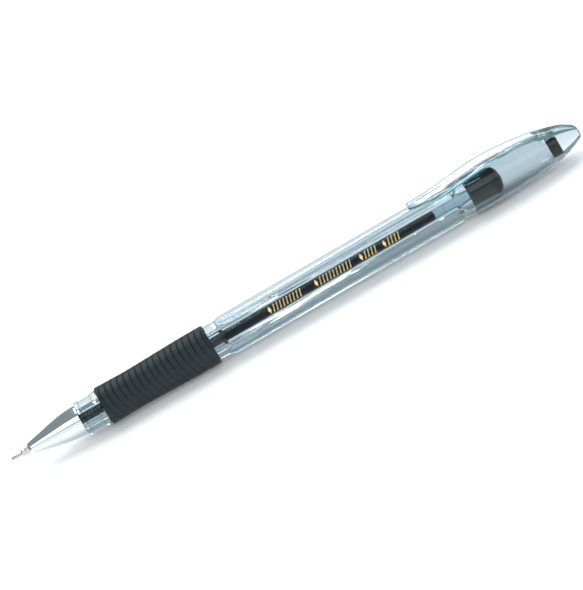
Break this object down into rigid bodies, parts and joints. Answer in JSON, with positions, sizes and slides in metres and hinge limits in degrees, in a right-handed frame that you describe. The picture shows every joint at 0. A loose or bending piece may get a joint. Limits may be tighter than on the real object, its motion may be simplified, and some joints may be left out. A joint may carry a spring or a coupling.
{
  "type": "gel pen",
  "caption": "Capped gel pen with a steel needle point, screw-on chrome nose cone, ribbed rubber grip, clear six-sided barrel and a clear clip cap pushed onto its rear.",
  "frame": {"origin": "front of the writing ball, on the pen's axis", "axes": "+X along the pen from the writing point to the closed end of the cap, +Z to the side of the clip"},
  "size_m": [0.1638, 0.0112, 0.0126],
  "materials": {
    "ball_steel": "polished",
    "needle_steel": "satin drawn tube",
    "holder_metal": "turned, rosy nickel silver",
    "adapter_plastic": "plain moulded",
    "refill_plastic": "translucent extruded tube",
    "ink": "black gel",
    "follower_grease": "clear yellowish grease",
    "chrome": "polished plating",
    "barrel_plastic": "clear moulded, gold foil print on one side",
    "grip_rubber": "matt with fine grooves",
    "plug_plastic": "black moulded",
    "cap_plastic": "clear moulded",
    "seal_rubber": "matt black"
  },
  "bodies": {
    "barrel": {"barrel": "barrel_plastic", "grip": "grip_rubber", "end_plug": "plug_plastic"},
    "refill": {"refill_tube": "refill_plastic", "ink": "ink", "tip_adapter": "adapter_plastic", "tip_holder": "holder_metal", "needle_tube": "needle_steel"},
    "follower": {"follower": "follower_grease"},
    "ball": {"ball": "ball_steel"},
    "nose_cone": {"nose_cone": "chrome"},
    "cap": {"cap": "cap_plastic", "cap_seal": "seal_rubber"},
    "clip": {"clip": "cap_plastic"}
  },
  "joints": [
    {"name": "cap_pull", "type": "slide", "parent": "barrel", "child": "cap", "axis": [1, 0, 0], "range_m": [0, 0.03]},
    {"name": "clip_flex", "type": "hinge", "parent": "cap", "child": "clip", "pos_m": [0.153, 0, 0.00541], "axis": [0, 1, 0], "range_deg": [0, 4], "stiffness_Nm_per_rad": 0.4},
    {"name": "refill_advance", "type": "slide", "parent": "barrel", "child": "refill", "axis": [-1, 0, 0], "range_m": [0, 0.00625]},
    {"name": "cone_turn", "type": "hinge", "parent": "refill", "child": "nose_cone", "pos_m": [0.0125, 0, 0], "axis": [-1, 0, 0], "range_deg": [0, 1800]},
    {"name": "ink_use", "type": "slide", "parent": "refill", "child": "follower", "axis": [-1, 0, 0], "range_m": [0, 0.1], "deforming": ["ink"]},
    {"name": "ball_roll", "type": "hinge", "parent": "refill", "child": "ball", "pos_m": [0.00035, 0, 0], "axis": [0, 1, 0], "continuous": true}
  ],
  "couplings": [
    {"joint": "cone_turn", "follows": "refill_advance", "rad_per_m": 5026.5}
  ]
}
